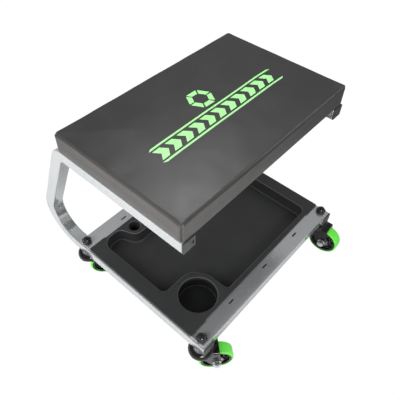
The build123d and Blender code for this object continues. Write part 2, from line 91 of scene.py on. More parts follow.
def smooth_group(angle_deg):
    """Geometry nodes: weld, shade smooth, keep edges sharper than the angle."""
    key = int(angle_deg)
    if key in _smooth:
        return _smooth[key]
    g = bpy.data.node_groups.new(f"smooth_{key}", "GeometryNodeTree")
    g.interface.new_socket("Geometry", in_out="INPUT", socket_type="NodeSocketGeometry")
    g.interface.new_socket("Geometry", in_out="OUTPUT", socket_type="NodeSocketGeometry")
    gi, go = g.nodes.new("NodeGroupInput"), g.nodes.new("NodeGroupOutput")
    weld = g.nodes.new("GeometryNodeMergeByDistance")
    weld.inputs["Distance"].default_value = 2e-6
    sm = g.nodes.new("GeometryNodeSetShadeSmooth")
    sm.domain = "FACE"
    sm.inputs["Shade Smooth"].default_value = True
    ang = g.nodes.new("GeometryNodeInputMeshEdgeAngle")
    cmp_ = g.nodes.new("FunctionNodeCompare")
    cmp_.data_type = "FLOAT"
    cmp_.operation = "GREATER_THAN"
    cmp_.inputs["B"].default_value = math.radians(angle_deg)
    sh = g.nodes.new("GeometryNodeSetShadeSmooth")
    sh.domain = "EDGE"
    sh.inputs["Shade Smooth"].default_value = False
    g.links.new(gi.outputs[0], weld.inputs[0])
    g.links.new(weld.outputs[0], sm.inputs[0])
    g.links.new(sm.outputs[0], sh.inputs[0])
    g.links.new(ang.outputs[0], cmp_.inputs["A"])
    g.links.new(cmp_.outputs[0], sh.inputs["Selection"])
    g.links.new(sh.outputs[0], go.inputs[0])
    _smooth[key] = g
    return g


def auto_smooth(o, angle=32):
    me = o.data
    if "custom_normal" in me.attributes:
        me.attributes.remove(me.attributes["custom_normal"])
    m = o.modifiers.new("smooth", "NODES")
    m.node_group = smooth_group(angle)


# ------------------------------------------------------------------ materials
class M:
    """Small wrapper that builds a node material."""

    def __init__(self, name):
        self.mat = bpy.data.materials.new(name)
        self.mat.use_nodes = True
        self.nt = self.mat.node_tree
        self.b = self.nt.nodes["Principled BSDF"]
        self.out = self.nt.nodes["Material Output"]
        tc = self.nt.nodes.new("ShaderNodeTexCoord")
        self.co = tc.outputs["Object"]

    def set(self, **kw):
        for k, v in kw.items():
            self.b.inputs[k.replace("_", " ")].default_value = v
        return self

    def node(self, kind, **props):
        n = self.nt.nodes.new(kind)
        for k, v in props.items():
            setattr(n, k, v)
        return n

    def link(self, a, b):
        self.nt.links.new(a, b)

    def noise(self, scale, detail=3.0, rough=0.55, dist=0.0, stretch=None):
        n = self.node("ShaderNodeTexNoise")
        n.inputs["Scale"].default_value = scale
        n.inputs["Detail"].default_value = detail
        n.inputs["Roughness"].default_value = rough
        n.inputs["Distortion"].default_value = dist
        if stretch:
            mp = self.node("ShaderNodeMapping")
            mp.inputs["Scale"].default_value = stretch
            self.link(self.co, mp.inputs["Vector"])
            self.link(mp.outputs[0], n.inputs["Vector"])
        else:
            self.link(self.co, n.inputs["Vector"])
        return n.outputs["Fac"]

    def voronoi(self, scale, feature="F1", out="Distance", vec=None, rand=1.0):
        n = self.node("ShaderNodeTexVoronoi", feature=feature)
        n.inputs["Scale"].default_value = scale
        n.inputs["Randomness"].default_value = rand
        self.link(vec or self.co, n.inputs["Vector"])
        return n.outputs[out]

    def math(self, op, a, b=0.0, clamp=False):
        n = self.node("ShaderNodeMath", operation=op, use_clamp=clamp)
        for i, v in enumerate((a, b)):
            if isinstance(v, (int, float)):
                n.inputs[i].default_value = v
            else:
                self.link(v, n.inputs[i])
        return n.outputs[0]

    def ramp(self, fac, stops):
        n = self.node("ShaderNodeValToRGB")
        el = n.color_ramp.elements
        while len(el) > len(stops):
            el.remove(el[-1])
        while len(el) < len(stops):
            el.new(1.0)
        for e, (p, c) in zip(el, stops):
            e.position = p
            e.color = (c, c, c, 1) if isinstance(c, (int, float)) else (*c, 1)
        self.link(fac, n.inputs["Fac"])
        return n.outputs["Color"]

    def maprange(self, v, a, b, c, d):
        n = self.node("ShaderNodeMapRange")
        for i, x in enumerate((a, b, c, d)):
            n.inputs[i + 1].default_value = x
        self.link(v, n.inputs[0])
        return n.outputs[0]

    def mix(self, fac, a, b, mode="MIX"):
        n = self.node("ShaderNodeMix", data_type="RGBA", blend_type=mode)
        ins = [s for s in n.inputs if s.type == "RGBA"]
        if isinstance(fac, (int, float)):
            n.inputs[0].default_value = fac
        else:
            self.link(fac, n.inputs[0])
        for s, v in zip(ins, (a, b)):
            if isinstance(v, (tuple, list)):
                s.default_value = (*v[:3], 1)
            else:
                self.link(v, s)
        return [s for s in n.outputs if s.type == "RGBA"][0]

    def bump(self, height, strength, distance, normal=None):
        n = self.node("ShaderNodeBump")
        n.inputs["Strength"].default_value = strength
        n.inputs["Distance"].default_value = distance
        self.link(height, n.inputs["Height"])
        if normal is not None:
            self.link(normal, n.inputs["Normal"])
        return n.outputs["Normal"]

    def edge(self, radius, lo=0.0, hi=1.0):
        """Mask that is 1 on sharp edges, from the rounded-normal difference."""
        bv = self.node("ShaderNodeBevel", samples=4)
        bv.inputs["Radius"].default_value = radius
        ge = self.node("ShaderNodeNewGeometry")
        dt = self.node("ShaderNodeVectorMath", operation="DOT_PRODUCT")
        self.link(bv.outputs[0], dt.inputs[0])
        self.link(ge.outputs["Normal"], dt.inputs[1])
        return self.maprange(dt.outputs["Value"], 1.0 - lo, 1.0 - hi, 0.0, 1.0)

    def soft_edges(self, radius):
        bv = self.node("ShaderNodeBevel", samples=6)
        bv.inputs["Radius"].default_value = radius
        return bv.outputs[0]

    def normal(self, sock):
        self.link(sock, self.b.inputs["Normal"])
        return self

    def color(self, sock):
        self.link(sock, self.b.inputs["Base Color"])
        return self

    def rough(self, sock):
        self.link(sock, self.b.inputs["Roughness"])
        return self


def vinyl():
    m = M("vinyl_black").set(Roughness=0.42, Specular_IOR_Level=0.46, Sheen_Weight=0.03, Sheen_Roughness=0.5)
    m.b.inputs["Sheen Tint"].default_value = (0.8, 0.8, 0.8, 1)
    wob = m.noise(420, 2)
    # pebble grain about 1 mm across, finer pores on top
    mp = m.node("ShaderNodeVectorMath", operation="ADD")
    sc = m.node("ShaderNodeVectorMath", operation="SCALE")
    cn = m.node("ShaderNodeTexNoise")
    cn.inputs["Scale"].default_value = 300
    m.link(m.co, cn.inputs["Vector"])
    m.link(cn.outputs["Color"], sc.inputs[0])
    sc.inputs["Scale"].default_value = 0.0009
    m.link(m.co, mp.inputs[0])
    m.link(sc.outputs[0], mp.inputs[1])
    cell = m.voronoi(820, "SMOOTH_F1", "Distance", mp.outputs[0])
    pores = m.voronoi(2600, "F1", "Distance", mp.outputs[0])
    h = m.math("ADD", m.math("MULTIPLY", cell, 1.0), m.math("MULTIPLY", pores, 0.25))
    big = m.noise(9, 3)
    col = m.ramp(m.math("ADD", m.math("MULTIPLY", big, 0.75), m.math("MULTIPLY", cell, 0.25)),
                 [(0.25, (0.0165, 0.0164, 0.0160)), (0.75, (0.0235, 0.0232, 0.0226))])
    m.color(col)
    m.rough(m.maprange(m.math("ADD", m.noise(26, 4), m.math("MULTIPLY", wob, 0.2)), 0.3, 0.9, 0.33, 0.44))
    m.normal(m.bump(h, 0.13, 0.0006, m.bump(m.noise(70, 3), 0.10, 0.0012)))
    return m.mat


def silver():
    m = M("silver_paint").set(Metallic=0.78, Coat_Weight=0.25, Coat_Roughness=0.05, Specular_IOR_Level=0.5)
    cloud = m.noise(9, 3)
    e = m.edge(0.0012, 0.02, 0.4)
    base = m.mix(m.maprange(cloud, 0.35, 0.7, 0.0, 1.0), (0.615, 0.640, 0.650), (0.665, 0.680, 0.685))
    # brushing dust and faint handling marks
    marks = m.noise(28, 2.5, 0.5, 0.6, stretch=(0.35, 1.0, 1.0))
    base = m.mix(m.maprange(marks, 0.55, 0.80, 0.0, 0.14), base, (0.50, 0.51, 0.52))
    # sharp edges are lightened towards near-white: a painted edge highlight
    m.color(m.mix(m.math("MULTIPLY", e, 0.35), base, (0.90, 0.90, 0.90)))
    m.rough(m.maprange(m.math("ADD", m.noise(24, 4), m.math("MULTIPLY", marks, 0.3)), 0.4, 1.0, 0.17, 0.26))
    m.normal(m.bump(m.noise(22, 1), 0.006, 0.0008, m.soft_edges(0.0010)))
    return m.mat


def black_gloss():
    m = M("black_gloss_metal").set(Coat_Weight=0.30, Coat_Roughness=0.04, Specular_IOR_Level=0.30)
    e = m.edge(0.0008, 0.02, 0.35)
    # sharp edges are lightened to grey: a painted edge glint on the black paint
    m.color(m.mix(m.math("MULTIPLY", e, 0.40), (0.0035, 0.0034, 0.0036), (0.15, 0.14, 0.14)))
    m.rough(m.maprange(m.noise(60, 3), 0.3, 0.7, 0.10, 0.19))
    m.normal(m.bump(m.noise(260, 2), 0.06, 0.0008, m.soft_edges(0.0007)))
    return m.mat


def black_nut():
    m = M("black_nut").set(Metallic=0.1, Specular_IOR_Level=0.45, Coat_Weight=0.4, Coat_Roughness=0.08)
    e = m.edge(0.0006, 0.02, 0.4)
    # sharp edges are lightened to grey: a painted edge glint on the black nuts
    m.color(m.mix(m.math("MULTIPLY", e, 0.45), (0.007, 0.007, 0.0075), (0.16, 0.16, 0.16)))
    m.rough(m.maprange(m.noise(180, 3), 0.3, 0.7, 0.20, 0.34))
    m.normal(m.bump(m.noise(900, 2), 0.05, 0.0003, m.soft_edges(0.0007)))
    return m.mat


def tray_plastic():
    m = M("tray_plastic").set(Specular_IOR_Level=0.5)
    e = m.edge(0.0014, 0.01, 0.25)
    big = m.noise(7, 4)
    base = m.ramp(big, [(0.3, (0.0250, 0.0255, 0.0262)), (0.75, (0.0350, 0.0356, 0.0365))])
    scuff = m.noise(34, 6, 0.62, 0.4, stretch=(1.0, 0.22, 1.0))
    base = m.mix(m.maprange(scuff, 0.60, 0.78, 0.0, 0.18), base, (0.036, 0.036, 0.036))
    ge = m.node("ShaderNodeNewGeometry")
    sn = m.node("ShaderNodeSeparateXYZ")
    m.link(ge.outputs["Normal"], sn.inputs[0])
    sz = m.node("ShaderNodeSeparateXYZ")
    m.link(m.co, sz.inputs[0])
    # rolled and high pick the convex rim fillets near the top; they are lightened below as a painted rim highlight
    rolled = m.math("MULTIPLY", m.maprange(sn.outputs["Z"], 0.30, 0.55, 0.0, 1.0), m.maprange(sn.outputs["Z"], 0.90, 0.98, 1.0, 0.0))
    high = m.maprange(sz.outputs["Z"], 0.0940, 0.0960, 0.0, 1.0)
    cup = [mt for mt in frame["record"]["mounts"] if mt["name"] == "cup_holder"][0]["pos_m"]
    away = m.node("ShaderNodeVectorMath", operation="DISTANCE")
    flat = m.node("ShaderNodeCombineXYZ")
    m.link(sz.outputs["X"], flat.inputs[0])
    m.link(sz.outputs["Y"], flat.inputs[1])
    m.link(flat.outputs[0], away.inputs[0])
    away.inputs[1].default_value = (cup[0], cup[1], 0.0)
    # the cup well is darkened: painted shade inside the cup's hollow
    cup_well_shade = m.math("MULTIPLY", m.maprange(away.outputs["Value"], 0.0358, 0.0366, 1.0, 0.0), m.maprange(sz.outputs["Z"], 0.0955, 0.0985, 1.0, 0.0))
    base = m.mix(m.math("MULTIPLY", cup_well_shade, 0.85), base, (0.0045, 0.0048, 0.0052))
    rim_highlight = m.math("MULTIPLY", rolled, m.math("ADD", m.math("MULTIPLY", high, 0.75), 0.25))
    base = m.mix(m.math("MULTIPLY", rim_highlight, 0.80), base, (0.120, 0.123, 0.125))
    # sharp edges are lightened: a painted edge highlight
    m.color(m.mix(m.math("MULTIPLY", e, 0.85), base, (0.135, 0.137, 0.138)))
    grain = m.voronoi(1500, "F1", "Distance")
    m.rough(m.maprange(m.math("ADD", m.noise(50, 4), m.math("MULTIPLY", grain, 0.2)), 0.3, 0.9, 0.36, 0.55))
    m.normal(m.bump(m.math("ADD", grain, m.math("MULTIPLY", m.noise(2400, 2), 0.6)), 0.20, 0.0004, m.soft_edges(0.0012)))
    return m.mat


def plug_plastic():
    m = M("plug_plastic").set(Specular_IOR_Level=0.5)
    e = m.edge(0.0007, 0.02, 0.4)
    # sharp edges are lightened to grey: a painted edge highlight
    m.color(m.mix(m.math("MULTIPLY", e, 0.6), (0.045, 0.045, 0.046), (0.20, 0.20, 0.20)))
    grain = m.voronoi(2100, "F1", "Distance")
    m.rough(m.maprange(m.noise(120, 4), 0.3, 0.7, 0.34, 0.5))
    m.normal(m.bump(grain, 0.2, 0.0003, m.soft_edges(0.0006)))
    return m.mat


def hub_plastic():
    m = M("hub_plastic").set(Specular_IOR_Level=0.38, Coat_Weight=0.2, Coat_Roughness=0.1)
    e = m.edge(0.0008, 0.02, 0.35)
    # sharp edges, such as the rims of the hub holes, are lightened to grey: painted edge glints
    m.color(m.mix(m.math("MULTIPLY", e, 0.9), (0.005, 0.005, 0.0055), (0.34, 0.33, 0.34)))
    m.rough(m.maprange(m.noise(150, 3), 0.3, 0.7, 0.18, 0.32))
    m.normal(m.bump(m.noise(700, 2), 0.08, 0.0003, m.soft_edges(0.0007)))
    return m.mat


def green_pu():
    m = M("green_tread").set(Specular_IOR_Level=0.32, Subsurface_Weight=0.12, Subsurface_Scale=0.003)
    m.b.inputs["Subsurface Radius"].default_value = (0.4, 1.0, 0.3)
    n = m.noise(60, 4)
    base = m.ramp(n, [(0.3, (0.135, 0.80, 0.070)), (0.7, (0.180, 0.90, 0.090))])
    dirt = m.noise(420, 4)
    m.color(m.mix(m.maprange(dirt, 0.62, 0.8, 0.0, 0.10), base, (0.20, 0.50, 0.16)))
    m.rough(m.maprange(m.noise(90, 3), 0.3, 0.7, 0.26, 0.40))
    m.normal(m.bump(m.noise(500, 3), 0.06, 0.0005))
    return m.mat


def zinc():
    m = M("zinc").set(Metallic=1.0)
    sp = m.voronoi(900, "F1", "Color")
    m.color(m.ramp(sp, [(0.0, (0.70, 0.71, 0.72)), (1.0, (0.88, 0.89, 0.90))]))
    m.rough(m.maprange(m.noise(260, 4), 0.3, 0.7, 0.18, 0.34))
    m.normal(m.bump(m.noise(1200, 2), 0.05, 0.0002, m.soft_edges(0.0005)))
    return m.mat


def steel():
    m = M("steel").set(Metallic=1.0)
    n = m.noise(300, 4, stretch=(1, 1, 9))
    m.color(m.ramp(n, [(0.3, (0.48, 0.48, 0.49)), (0.7, (0.66, 0.66, 0.67))]))
    m.rough(m.maprange(n, 0.3, 0.7, 0.24, 0.38))
    m.normal(m.bump(n, 0.06, 0.0002, m.soft_edges(0.0004)))
    return m.mat


def board_black():
    m = M("board_black").set(Specular_IOR_Level=0.3)
    g = m.noise(28, 8, 0.62, 1.2, stretch=(0.35, 6.0, 3.0))
    fine = m.noise(240, 5, 0.6, 0.3, stretch=(0.2, 6.0, 1.0))
    sep = m.node("ShaderNodeSeparateXYZ")
    m.link(m.co, sep.inputs[0])
    plies = m.math("FRACT", m.math("MULTIPLY", sep.outputs["Z"], 420.0))
    t = m.math("ADD", m.math("MULTIPLY", g, 0.7), m.math("MULTIPLY", fine, 0.3))
    face = m.ramp(t, [(0.30, (0.022, 0.021, 0.020)), (0.52, (0.042, 0.040, 0.037)), (0.75, (0.070, 0.064, 0.057))])
    ge = m.node("ShaderNodeNewGeometry")
    sn = m.node("ShaderNodeSeparateXYZ")
    m.link(ge.outputs["Normal"], sn.inputs[0])
    up = m.math("ABSOLUTE", sn.outputs["Z"])
    edge_c = m.ramp(plies, [(0.0, (0.020, 0.018, 0.016)), (0.12, (0.075, 0.066, 0.055)), (0.55, (0.055, 0.048, 0.040)), (1.0, (0.035, 0.031, 0.027))])
    m.color(m.mix(up, edge_c, face))
    m.rough(m.maprange(t, 0.3, 0.75, 0.82, 0.62))
    m.normal(m.bump(t, 0.25, 0.0006))
    return m.mat


def foam():
    m = M("foam").set(Roughness=0.95, Specular_IOR_Level=0.1)
    c = m.voronoi(900, "F1", "Distance")
    m.color(m.ramp(c, [(0.1, (0.42, 0.37, 0.22)), (0.6, (0.80, 0.74, 0.52))]))
    m.normal(m.bump(c, 0.6, 0.0008))
    return m.mat


def print_ink():
    m = M("seat_print_ink").set(Specular_IOR_Level=0.4, Roughness=0.42)
    n = m.noise(160, 5)
    m.color(m.ramp(n, [(0.3, (0.30, 0.73, 0.26)), (0.7, (0.38, 0.82, 0.33))]))
    cell = m.voronoi(820, "SMOOTH_F1", "Distance")
    m.normal(m.bump(cell, 0.14, 0.0005))
    return m.mat


MATS = {
    "vinyl_black": vinyl(), "silver_paint": silver(), "black_gloss_metal": black_gloss(), "black_nut": black_nut(),
    "tray_plastic": tray_plastic(), "plug_plastic": plug_plastic(), "hub_plastic": hub_plastic(),
    "green_tread": green_pu(), "zinc": zinc(), "steel": steel(), "board_black": board_black(), "foam": foam(),
}
slot_of = {s["node"]: s["material_slot"] for s in frame["record"]["subparts"]}
for name, o in NODES.items():
    o.data.materials.clear()
    o.data.materials.append(MATS[slot_of[name]])
    o.data.polygons.foreach_set("material_index", [0] * len(o.data.polygons))
    auto_smooth(o, 30)

# ------------------------------------------------------------------ seat cushion
lo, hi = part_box("seat_cover")
CX, CY = (lo.x + hi.x) / 2, (lo.y + hi.y) / 2
HX, HY = (hi.x - lo.x) / 2, (hi.y - lo.y) / 2
Z0, Z1 = lo.z, hi.z
HEM = 0.033
R_SIDE = 0.0064


def axis_cells(a, b, step):
    n = max(1, round((b - a) / step))
    return [a + (b - a) * i / n for i in range(n + 1)]


def rim_cells(a, b, side):
    """Grid lines from a to b, fine over the outer 12 mm (at a when side is 1, at b when it is -1)."""
    if side > 0:
        return merged(axis_cells(a, a + 0.0130, 0.0013), axis_cells(a + 0.0130, b, 0.0040))
    return merged(axis_cells(a, b - 0.0130, 0.0040), axis_cells(b - 0.0130, b, 0.0013))


def merged(*lists):
    out = []
    for l in lists:
        for v in l:
            if not out or abs(v - out[-1]) > 1e-7:
                out.append(v)
    return out


def box_surface(xs, ys, zs):
    """Quads on the six sides of a box with the given grid lines."""
    idx, verts, faces = {}, [], []

    def vid(i, j, k):
        key = (i, j, k)
        if key not in idx:
            idx[key] = len(verts)
            verts.append((xs[i], ys[j], zs[k]))
        return idx[key]

    nx, ny, nz = len(xs) - 1, len(ys) - 1, len(zs) - 1
    for i in range(nx):
        for j in range(ny):
            faces.append((vid(i, j, 0), vid(i, j + 1, 0), vid(i + 1, j + 1, 0), vid(i + 1, j, 0)))
            faces.append((vid(i, j, nz), vid(i + 1, j, nz), vid(i + 1, j + 1, nz), vid(i, j + 1, nz)))
    for i in range(nx):
        for k in range(nz):
            faces.append((vid(i, 0, k), vid(i + 1, 0, k), vid(i + 1, 0, k + 1), vid(i, 0, k + 1)))
            faces.append((vid(i, ny, k), vid(i, ny, k + 1), vid(i + 1, ny, k + 1), vid(i + 1, ny, k)))
    for j in range(ny):
        for k in range(nz):
            faces.append((vid(0, j, k), vid(0, j, k + 1), vid(0, j + 1, k + 1), vid(0, j + 1, k)))
            faces.append((vid(nx, j, k), vid(nx, j + 1, k), vid(nx, j + 1, k + 1), vid(nx, j, k + 1)))
    return verts, faces


def seat_cushion():
    hx, hy = HX + 0.0001, HY + 0.0001
    top = Z1 - 0.0002
    step = 0.0042
    cut_x, cut_y = HX - HEM, HY - HEM
    xs = merged(rim_cells(-hx, -cut_x, 1), axis_cells(-cut_x, cut_x, step), rim_cells(cut_x, hx, -1))
    ys = merged(rim_cells(-hy, -cut_y, 1), axis_cells(-cut_y, cut_y, step), rim_cells(cut_y, hy, -1))
    zs = merged([Z0], axis_cells(Z0 + 0.0016, top - 0.0052, 0.0033), axis_cells(top - 0.0052, top, 0.0013))
    verts, faces = box_surface(xs, ys, zs)
    out = []
    r_top, r_side, r_bot = 0.0052, R_SIDE, 0.0016
    for x, y, z in verts:
        # vertical corners first, in plan
        ix, iy = hx - r_side, hy - r_side
        qx, qy = max(-ix, min(ix, x)), max(-iy, min(iy, y))
        dx, dy = x - qx, y - qy
        if dx and dy:
            # map the square corner onto the round one, keeping the grid even
            u, v = abs(dx) / r_side, abs(dy) / r_side
            nx_ = u * math.sqrt(max(0.0, 1 - v * v / 2))
            ny_ = v * math.sqrt(max(0.0, 1 - u * u / 2))
            x, y = qx + math.copysign(nx_ * r_side, dx), qy + math.copysign(ny_ * r_side, dy)
        out.append([x, y, z])
    # roll the top and bottom edges: move by distance from the outline
    res = []
    for (x, y, z), (ox, oy, oz) in zip(out, verts):
        ix, iy = hx - r_side, hy - r_side
        qx, qy = max(-ix, min(ix, x)), max(-iy, min(iy, y))
        dx, dy = x - qx, y - qy
        d = math.hypot(dx, dy)
        # distance inside the outline
        if abs(x) > ix and abs(y) > iy:
            depth = r_side - d
            nx_, ny_ = (dx / d, dy / d) if d > 1e-9 else (0.0, 0.0)
        else:
            ax, ay = hx - abs(x), hy - abs(y)
            depth = min(ax, ay)
            nx_, ny_ = ((math.copysign(1, x), 0.0) if ax < ay else (0.0, math.copysign(1, y)))
        for r, zc, sign in ((r_top, top, 1), (r_bot, Z0, -1)):
            up = (zc - z) * sign          # how far below the face
            if up < r and depth < r:
                a, b = 1 - depth / r, 1 - up / r
                a2 = a * math.sqrt(max(0.0, 1 - b * b / 2))
                b2 = b * math.sqrt(max(0.0, 1 - a * a / 2))
                x += nx_ * ((a2 - a) * r)
                y += ny_ * ((a2 - a) * r)
                z += sign * ((b2 - b) * r)
        res.append((x, y, z))
    o = mesh_object("seat_cushion", [(x + CX, y + CY, z) for x, y, z in res], faces)
    return o


def inflate(o, cap, pressure=4.0, frames=20):
    """Cloth pass: the pad swells against its own skin; the underside stays put."""
    rest = np.array([v.co[:] for v in o.data.vertices])
    vg = o.vertex_groups.new(name="pin")
    for i, p in enumerate(rest):
        w = 1.0 if p[2] < Z0 + 0.0035 else max(0.0, 1.0 - (p[2] - Z0 - 0.0035) / 0.006) * 0.6
        if w > 0:
            vg.add([i], w, "REPLACE")
    m = o.modifiers.new("cloth", "CLOTH")
    s = m.settings
    s.quality = 7
    s.mass = 0.35
    s.tension_stiffness = 22
    s.compression_stiffness = 22
    s.shear_stiffness = 10
    s.bending_stiffness = 3.0
    s.use_pressure = True
    s.uniform_pressure_force = pressure
    s.vertex_group_mass = "pin"
    s.pin_stiffness = 1.0
    s.effector_weights.gravity = 0
    m.collision_settings.use_collision = False
    m.point_cache.frame_start = 1
    m.point_cache.frame_end = frames
    for f in range(1, frames + 1):
        scene.frame_set(f)
    dg = bpy.context.evaluated_depsgraph_get()
    ev = o.evaluated_get(dg)
    co = np.array([v.co[:] for v in ev.data.vertices])
    o.modifiers.remove(m)
    o.vertex_groups.clear()
    d = co - rest
    # even out the sharpest creases over each point's neighbours
    edges = np.array([e.vertices[:] for e in o.data.edges])
    count = np.bincount(edges.ravel(), minlength=len(rest)).astype(float)[:, None]
    for _ in range(6):
        acc = np.zeros_like(d)
        np.add.at(acc, edges[:, 0], d[edges[:, 1]])
        np.add.at(acc, edges[:, 1], d[edges[:, 0]])
        d = 0.4 * d + 0.6 * acc / np.maximum(count, 1.0)
    # the skin is drawn tight over a foam core: it can swell, but hardly move inwards
    ax, ay = np.abs(rest[:, 0] - CX), np.abs(rest[:, 1] - CY)
    inside = np.clip(np.minimum(HX - ax, HY - ay) / 0.095, 0.0, 1.0)
    rise = inside * inside * (3 - 2 * inside)
    out = d[:, :2] * np.sign(rest[:, :2] - (CX, CY))
    out = np.where(out > 0, 0.0012 * np.tanh(out / 0.0030), -0.0003 * np.tanh(-out / 0.0030))
    d[:, :2] = out * np.sign(rest[:, :2] - (CX, CY))
    up = rest[:, 2] > Z1 - 0.0060
    d[:, 2] = np.where(up, cap * np.tanh(np.maximum(d[:, 2], 0.0) / cap) * (0.06 + 0.94 * rise), 0.0)
    co = rest + d
    o.data.vertices.foreach_set("co", co.ravel())
    o.data.update()
    scene.frame_set(1)


def corner_detail(o):
    """Folded pleats at the four corners, tension lines running off them, and slight unevenness."""
    ix, iy = HX - R_SIDE, HY - R_SIDE
    for v in o.data.vertices:
        p = v.co
        x, y, z = p.x - CX, p.y - CY, p.z
        t = (z - Z0) / (Z1 - Z0)
        sx, sy = (1 if x > 0 else -1), (1 if y > 0 else -1)
        ax, ay = abs(x), abs(y)
        # general softness of the skin
        n = noise.noise(Vector((x * 14, y * 14, z * 22)))
        n2 = noise.noise(Vector((x * 38 + 7, y * 38, z * 50)))
        if t > 0.9:
            p.z += 0.00055 * n + 0.00016 * n2
        elif t > 0.12:
            k = 0.0006 * n + 0.0002 * n2
            if ax > HX - 0.012 and ay < iy:
                p.x += sx * k
            elif ay > HY - 0.012 and ax < ix:
                p.y += sy * k
        # outward direction and arc position s: 0 in the middle of the corner, negative on the side (X) face
        cx, cy = ax - ix, ay - iy
        if cx > 0 and cy > 0:
            ang = math.atan2(cy, cx)
            s = (ang - math.pi / 4) * R_SIDE
            ox, oy = math.cos(ang), math.sin(ang)
        elif ax > HX - 0.010 and cx > 0:
            s = -(math.pi / 4) * R_SIDE + min(0.0, cy)
            ox, oy = 1.0, 0.0
        elif ay > HY - 0.010 and cy > 0:
            s = (math.pi / 4) * R_SIDE - min(0.0, cx)
            ox, oy = 0.0, 1.0
        else:
            s = None
        if s is not None and t > 0.02:
            # the side panel laps the corner; the front panel tucks behind its edge
            fade = max(0.0, min(1.0, (t - 0.02) / 0.10)) * max(0.0, min(1.0, (1.00 - t) / 0.16))
            s0 = 0.0002
            q = (s - s0) / 0.0014
            valley = -0.0031 * math.exp(-q * q)
            lap = 0.0011 / (1 + math.exp((s - s0 + 0.0014) / 0.0004)) * math.exp(-max(0.0, -(s + 0.003)) / 0.010)
            k = (valley + lap) * fade
            p.x += sx * ox * k
            p.y += sy * oy * k
            # small gathered ear where the fold starts under the top edge
            ear = math.exp(-((t - 0.90) / 0.05) ** 2) * math.exp(-((s + 0.0010) / 0.0018) ** 2)
            p.x += sx * ox * 0.0011 * ear
            p.y += sy * oy * 0.0011 * ear
        # tension lines over the top corners
        dcx, dcy = HX - ax, HY - ay
        dist = math.hypot(dcx, dcy)
        if t > 0.85 and dist < 0.07:
            a = math.atan2(dcy, dcx)
            ripple = math.sin(a * 9.0 + 1.3 * sx + 0.7 * sy)
            p.z += 0.00012 * ripple * math.exp(-((dist - 0.018) / 0.022) ** 2)
            p.z += 0.0004 * math.exp(-(dist / 0.014) ** 2)
        # long shallow pulls along the rims, where the skin is drawn down and stapled
        edge_d = min(dcx, dcy)
        if t > 0.85 and edge_d < 0.045:
            run = y if dcx < dcy else x
            p.z += 0.00016 * math.sin(run * 95.0 + 2.0 * n) * math.exp(-((edge_d - 0.012) / 0.014) ** 2)
    o.data.update()


def open_bottom(o):
    """Cuts the underside open inside the turned hem; the skin gets its thickness later from a solidify modifier.
    """
    bm = bmesh.new()
    bm.from_mesh(o.data)
    kill = []
    for f in bm.faces:
        c = f.calc_center_median()
        if c.z < Z0 + 0.0012 and f.normal.z < -0.7 and abs(c.x - CX) < HX - HEM - 1e-4 and abs(c.y - CY) < HY - HEM - 1e-4:
            kill.append(f)
    bmesh.ops.delete(bm, geom=kill, context="FACES")
    # holes for the four seat bolts are under the rails; the skin is solid there in the visual model
    bm.to_mesh(o.data)
    bm.free()


def foam_block():
    """The foam under the skin, a little smaller than its space so the skin can fold over it."""
    flo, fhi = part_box("seat_foam")
    hx, hy = HX - 0.0042, HY - 0.0042
    bm = bmesh.new()
    bmesh.ops.create_cube(bm, size=1.0)
    for v in bm.verts:
        v.co = Vector((CX + v.co.x * 2 * hx, CY + v.co.y * 2 * hy, flo.z if v.co.z < 0 else fhi.z - 0.0030))
    up = [e for e in bm.edges if all(v.co.z > flo.z + 0.001 for v in e.verts) or abs(e.verts[0].co.z - e.verts[1].co.z) > 0.001]
    bmesh.ops.bevel(bm, geom=up, offset=0.007, segments=5, profile=0.5, affect="EDGES")
    me = bpy.data.meshes.new("foam_block")
    bm.to_mesh(me)
    bm.free()
    me.polygons.foreach_set("use_smooth", [True] * len(me.polygons))
    o = link(bpy.data.objects.new("foam_block", me))
    o.data.materials.append(MATS["foam"])
    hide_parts("seat_foam")
    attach(o, "base")
    return o


foam_block()
cushion = seat_cushion()
inflate(cushion, 0.0034)
corner_detail(cushion)
open_bottom(cushion)
sub = cushion.modifiers.new("sub", "SUBSURF")
sub.levels = sub.render_levels = 1
sol = cushion.modifiers.new("skin", "SOLIDIFY")
sol.thickness = 0.0011
sol.offset = -1
cushion.data.materials.append(MATS["vinyl_black"])
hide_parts("seat_cover")
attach(cushion, "base")
bpy.context.view_layer.update()

# ------------------------------------------------------------------ printed graphic
from mathutils.bvhtree import BVHTree

dg = bpy.context.evaluated_depsgraph_get()
tree = BVHTree.FromObject(cushion, dg)


def on_top(x, y):
    hit = tree.ray_cast(Vector((CX + x, CY + y, Z1 + 0.05)), Vector((0, 0, -1)))
    return hit[0].z


